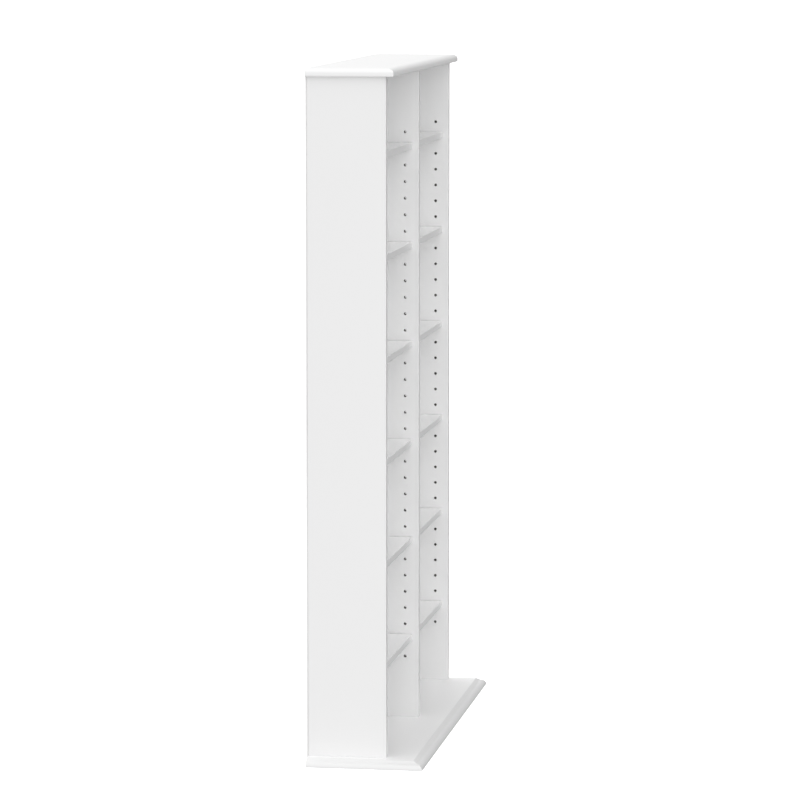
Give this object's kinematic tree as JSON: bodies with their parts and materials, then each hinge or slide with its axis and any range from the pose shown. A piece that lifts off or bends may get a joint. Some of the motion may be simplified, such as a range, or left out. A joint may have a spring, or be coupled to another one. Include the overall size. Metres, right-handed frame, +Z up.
{
  "type": "open storage bookcase",
  "caption": "Tall narrow open bookcase: two columns of adjustable shelves on support pins between drilled uprights, with a moulded top and a wide moulded base.",
  "frame": {"origin": "on the floor, under the centre of the whole object's box", "axes": "+Z up, the open front faces -Y, +X is to the right of someone who faces the front"},
  "size_m": [0.888, 0.2232, 1.2966],
  "materials": {
    "moulded_board": "white satin film over a routed board edge",
    "upright_laminate": "white satin laminate on board, edge banded",
    "shelf_laminate": "white satin laminate on board, front edge banded",
    "back_hardboard": "white faced hardboard, brown rear",
    "support_steel": "nickel plated steel",
    "screw_steel": "zinc plated steel"
  },
  "bodies": {
    "carcass": {"base_board": "moulded_board", "top_board": "moulded_board", "left_side_panel": "upright_laminate", "centre_divider": "upright_laminate", "right_side_panel": "upright_laminate", "back_panel": "back_hardboard", "support_left_1_front": "support_steel", "support_left_1_rear": "support_steel", "support_left_2_front": "support_steel", "support_left_2_rear": "support_steel", "support_left_3_front": "support_steel", "support_left_3_rear": "support_steel", "support_left_4_front": "support_steel", "support_left_4_rear": "support_steel", "support_left_5_front": "support_steel", "support_left_5_rear": "support_steel", "support_left_6_front": "support_steel", "support_left_6_rear": "support_steel", "support_centre_1_front": "support_steel", "support_centre_1_rear": "support_steel", "support_centre_2_front": "support_steel", "support_centre_2_rear": "support_steel", "support_centre_3_front": "support_steel", "support_centre_3_rear": "support_steel", "support_centre_4_front": "support_steel", "support_centre_4_rear": "support_steel", "support_centre_5_front": "support_steel", "support_centre_5_rear": "support_steel", "support_centre_6_front": "support_steel", "support_centre_6_rear": "support_steel", "support_right_1_front": "support_steel", "support_right_1_rear": "support_steel", "support_right_2_front": "support_steel", "support_right_2_rear": "support_steel", "support_right_3_front": "support_steel", "support_right_3_rear": "support_steel", "support_right_4_front": "support_steel", "support_right_4_rear": "support_steel", "support_right_5_front": "support_steel", "support_right_5_rear": "support_steel", "support_right_6_front": "support_steel", "support_right_6_rear": "support_steel", "base_screw_left_front": "screw_steel", "base_screw_left_rear": "screw_steel", "base_screw_centre_front": "screw_steel", "base_screw_centre_rear": "screw_steel", "base_screw_right_front": "screw_steel", "base_screw_right_rear": "screw_steel"},
    "shelf_left_1": {"shelf_left_1": "shelf_laminate"},
    "shelf_left_2": {"shelf_left_2": "shelf_laminate"},
    "shelf_left_3": {"shelf_left_3": "shelf_laminate"},
    "shelf_left_4": {"shelf_left_4": "shelf_laminate"},
    "shelf_left_5": {"shelf_left_5": "shelf_laminate"},
    "shelf_left_6": {"shelf_left_6": "shelf_laminate"},
    "shelf_right_1": {"shelf_right_1": "shelf_laminate"},
    "shelf_right_2": {"shelf_right_2": "shelf_laminate"},
    "shelf_right_3": {"shelf_right_3": "shelf_laminate"},
    "shelf_right_4": {"shelf_right_4": "shelf_laminate"},
    "shelf_right_5": {"shelf_right_5": "shelf_laminate"},
    "shelf_right_6": {"shelf_right_6": "shelf_laminate"}
  },
  "joints": [
    {"name": "shelf_left_1_draw", "type": "slide", "parent": "carcass", "child": "shelf_left_1", "axis": [0, -1, 0], "range_m": [0, 0.17]},
    {"name": "shelf_left_2_draw", "type": "slide", "parent": "carcass", "child": "shelf_left_2", "axis": [0, -1, 0], "range_m": [0, 0.17]},
    {"name": "shelf_left_3_draw", "type": "slide", "parent": "carcass", "child": "shelf_left_3", "axis": [0, -1, 0], "range_m": [0, 0.17]},
    {"name": "shelf_left_4_draw", "type": "slide", "parent": "carcass", "child": "shelf_left_4", "axis": [0, -1, 0], "range_m": [0, 0.17]},
    {"name": "shelf_left_5_draw", "type": "slide", "parent": "carcass", "child": "shelf_left_5", "axis": [0, -1, 0], "range_m": [0, 0.17]},
    {"name": "shelf_left_6_draw", "type": "slide", "parent": "carcass", "child": "shelf_left_6", "axis": [0, -1, 0], "range_m": [0, 0.17]},
    {"name": "shelf_right_1_draw", "type": "slide", "parent": "carcass", "child": "shelf_right_1", "axis": [0, -1, 0], "range_m": [0, 0.17]},
    {"name": "shelf_right_2_draw", "type": "slide", "parent": "carcass", "child": "shelf_right_2", "axis": [0, -1, 0], "range_m": [0, 0.17]},
    {"name": "shelf_right_3_draw", "type": "slide", "parent": "carcass", "child": "shelf_right_3", "axis": [0, -1, 0], "range_m": [0, 0.17]},
    {"name": "shelf_right_4_draw", "type": "slide", "parent": "carcass", "child": "shelf_right_4", "axis": [0, -1, 0], "range_m": [0, 0.17]},
    {"name": "shelf_right_5_draw", "type": "slide", "parent": "carcass", "child": "shelf_right_5", "axis": [0, -1, 0], "range_m": [0, 0.17]},
    {"name": "shelf_right_6_draw", "type": "slide", "parent": "carcass", "child": "shelf_right_6", "axis": [0, -1, 0], "range_m": [0, 0.17]}
  ]
}
